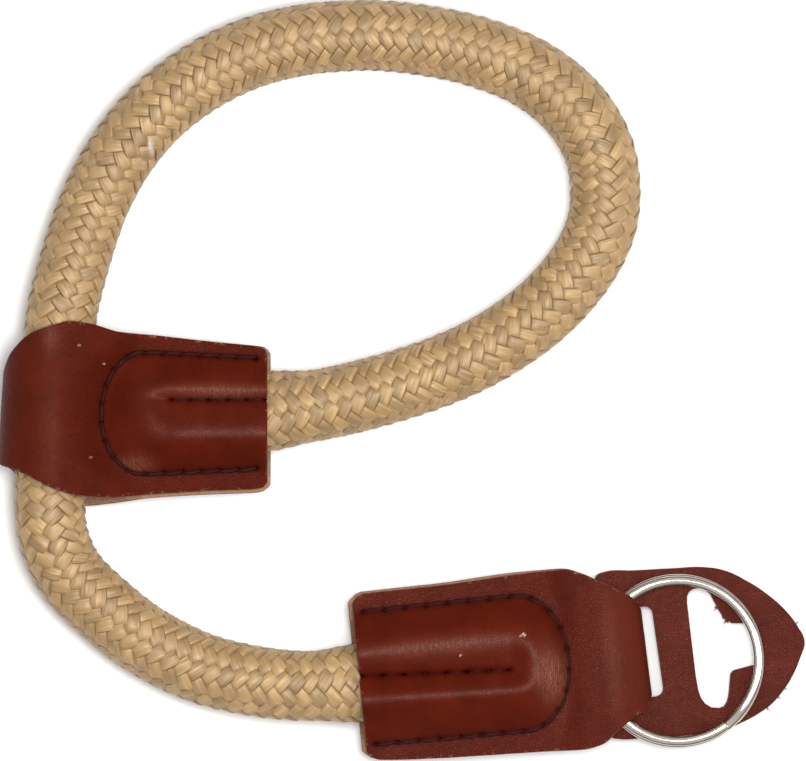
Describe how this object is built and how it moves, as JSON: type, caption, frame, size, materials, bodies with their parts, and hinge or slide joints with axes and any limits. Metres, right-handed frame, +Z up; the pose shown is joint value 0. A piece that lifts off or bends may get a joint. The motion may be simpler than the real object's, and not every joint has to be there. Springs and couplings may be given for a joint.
{
  "type": "camera hand strap",
  "caption": "Braided rope hand strap with an adjustable wrist loop, two folded leather ends, a split ring and a slotted leather pad.",
  "frame": {"origin": "middle of the leather and metal pieces' box, on the surface that the strap lies on", "axes": "+X from the slider towards the pad's tip, +Y across the strap towards the wrist loop, +Z up"},
  "size_m": [0.1127, 0.1061, 0.0128],
  "materials": {
    "cord": "flat silky yarns, braided, beige to khaki gold",
    "leather": "oxblood, smooth over the rope, finely grained at the edges",
    "pad_leather": "oxblood, matte, finely grained",
    "nickel": "polished nickel, slightly worn"
  },
  "bodies": {
    "strap": {"rope": "cord", "slider_leather": "leather", "end_tab_leather": "leather", "protector_pad": "pad_leather"},
    "ring": {"split_ring": "nickel"}
  },
  "joints": [
    {"name": "ring_turn", "type": "hinge", "parent": "strap", "child": "ring", "pos_m": [0.03841, -0.01684, 0.00391], "axis": [0.08, 0.0077, 0.9968], "continuous": true}
  ]
}
